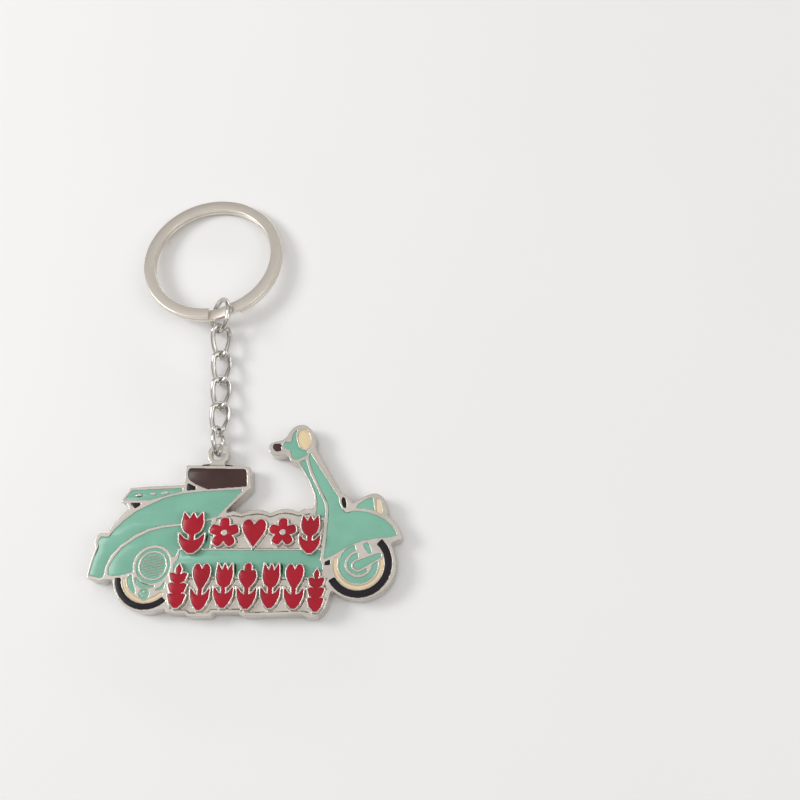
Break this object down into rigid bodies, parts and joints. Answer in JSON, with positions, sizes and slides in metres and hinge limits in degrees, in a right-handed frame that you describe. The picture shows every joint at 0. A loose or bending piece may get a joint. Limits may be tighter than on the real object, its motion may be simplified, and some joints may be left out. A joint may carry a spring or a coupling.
{
  "type": "keychain",
  "caption": "Keychain with a flat die-cast scooter charm filled with soft enamel and raised heart, tulip and blossom ornaments, on a twisted-link chain with a flat-wire split ring.",
  "frame": {"origin": "the charm's flat back, under the middle of its ornament band, with the whole keychain lying face up", "axes": "+Z out of the charm's enamelled face, +X towards the scooter's front wheel, +Y along the chain towards the split ring"},
  "size_m": [0.061, 0.0912, 0.0065],
  "materials": {
    "satin_nickel": "satin",
    "bright_nickel": "polished",
    "mint_enamel": "gloss",
    "brown_enamel": "gloss",
    "black_enamel": "gloss",
    "cream_enamel": "gloss",
    "red_enamel": "gloss"
  },
  "bodies": {
    "charm": {"charm_casting": "satin_nickel", "seat_enamel": "brown_enamel", "seat_bracket_enamel": "black_enamel", "luggage_rack_enamel": "mint_enamel", "rack_support_enamel": "black_enamel", "rear_body_enamel": "mint_enamel", "cowl_enamel": "mint_enamel", "tunnel_enamel": "mint_enamel", "engine_cover_enamel": "mint_enamel", "engine_grille_enamel": "mint_enamel", "gear_case_enamel": "mint_enamel", "gear_cover_enamel": "mint_enamel", "brake_link_enamel": "mint_enamel", "kick_hub_enamel": "mint_enamel", "rear_tyre_enamel": "black_enamel", "rear_rim_enamel": "cream_enamel", "front_tyre_enamel": "black_enamel", "front_tyre_stub_enamel": "black_enamel", "front_rim_enamel": "cream_enamel", "front_disc_enamel": "mint_enamel", "front_hub_enamel": "mint_enamel", "brake_lever_enamel": "mint_enamel", "fork_enamel": "mint_enamel", "legshield_enamel": "mint_enamel", "inner_legshield_enamel": "mint_enamel", "handlebar_head_enamel": "mint_enamel", "headlamp_enamel": "cream_enamel", "grip_enamel": "brown_enamel", "horn_enamel": "black_enamel", "fender_lamp_enamel": "mint_enamel", "fender_lens_enamel": "cream_enamel", "floorboard_enamel": "mint_enamel", "upper_tulip_rear_enamel": "red_enamel", "upper_blossom_rear_enamel": "red_enamel", "upper_heart_enamel": "red_enamel", "upper_blossom_front_enamel": "red_enamel", "upper_tulip_front_enamel": "red_enamel", "lower_sprig_rear_enamel": "red_enamel", "lower_heart_rear_enamel": "red_enamel", "lower_tulip_rear_enamel": "red_enamel", "lower_clover_enamel": "red_enamel", "lower_tulip_front_enamel": "red_enamel", "lower_heart_front_enamel": "red_enamel", "lower_sprig_front_enamel": "red_enamel"},
    "lower_jump_ring": {"lower_jump_ring": "bright_nickel"},
    "chain_link_4": {"chain_link_4": "bright_nickel"},
    "chain_link_3": {"chain_link_3": "bright_nickel"},
    "chain_link_2": {"chain_link_2": "bright_nickel"},
    "chain_link_1": {"chain_link_1": "bright_nickel"},
    "upper_jump_ring": {"upper_jump_ring": "bright_nickel"},
    "split_ring": {"split_ring": "satin_nickel"}
  },
  "joints": [
    {"name": "lower_jump_ring_swing", "type": "hinge", "parent": "charm", "child": "lower_jump_ring", "pos_m": [-0.00638, 0.01914, 0.00245], "axis": [0.9973, 0.0732, 0], "range_deg": [-80, 36]},
    {"name": "chain_link_4_turn", "type": "hinge", "parent": "lower_jump_ring", "child": "chain_link_4", "pos_m": [-0.00664, 0.02275, 0.00275], "axis": [0, 0, 1], "range_deg": [-40, 0]},
    {"name": "chain_link_3_swing", "type": "hinge", "parent": "chain_link_4", "child": "chain_link_3", "pos_m": [-0.00702, 0.0279, 0.00195], "axis": [0.9973, 0.0732, 0], "range_deg": [-24, 32]},
    {"name": "chain_link_2_turn", "type": "hinge", "parent": "chain_link_3", "child": "chain_link_2", "pos_m": [-0.00744, 0.0336, 0.0017], "axis": [0, 0, 1], "range_deg": [-32, 28]},
    {"name": "chain_link_1_swing", "type": "hinge", "parent": "chain_link_2", "child": "chain_link_1", "pos_m": [-0.00786, 0.03931, 0.0018], "axis": [0.9973, 0.0732, 0], "range_deg": [-40, 16]},
    {"name": "upper_jump_ring_turn", "type": "hinge", "parent": "chain_link_1", "child": "upper_jump_ring", "pos_m": [-0.00823, 0.04444, 0.00295], "axis": [0, 0, 1], "range_deg": [-24, 60]},
    {"name": "split_ring_swing", "type": "hinge", "parent": "upper_jump_ring", "child": "split_ring", "pos_m": [-0.0085, 0.04807, 0.00386], "axis": [0.7052, 0.0518, -0.7071], "range_deg": [-80, 60]}
  ]
}
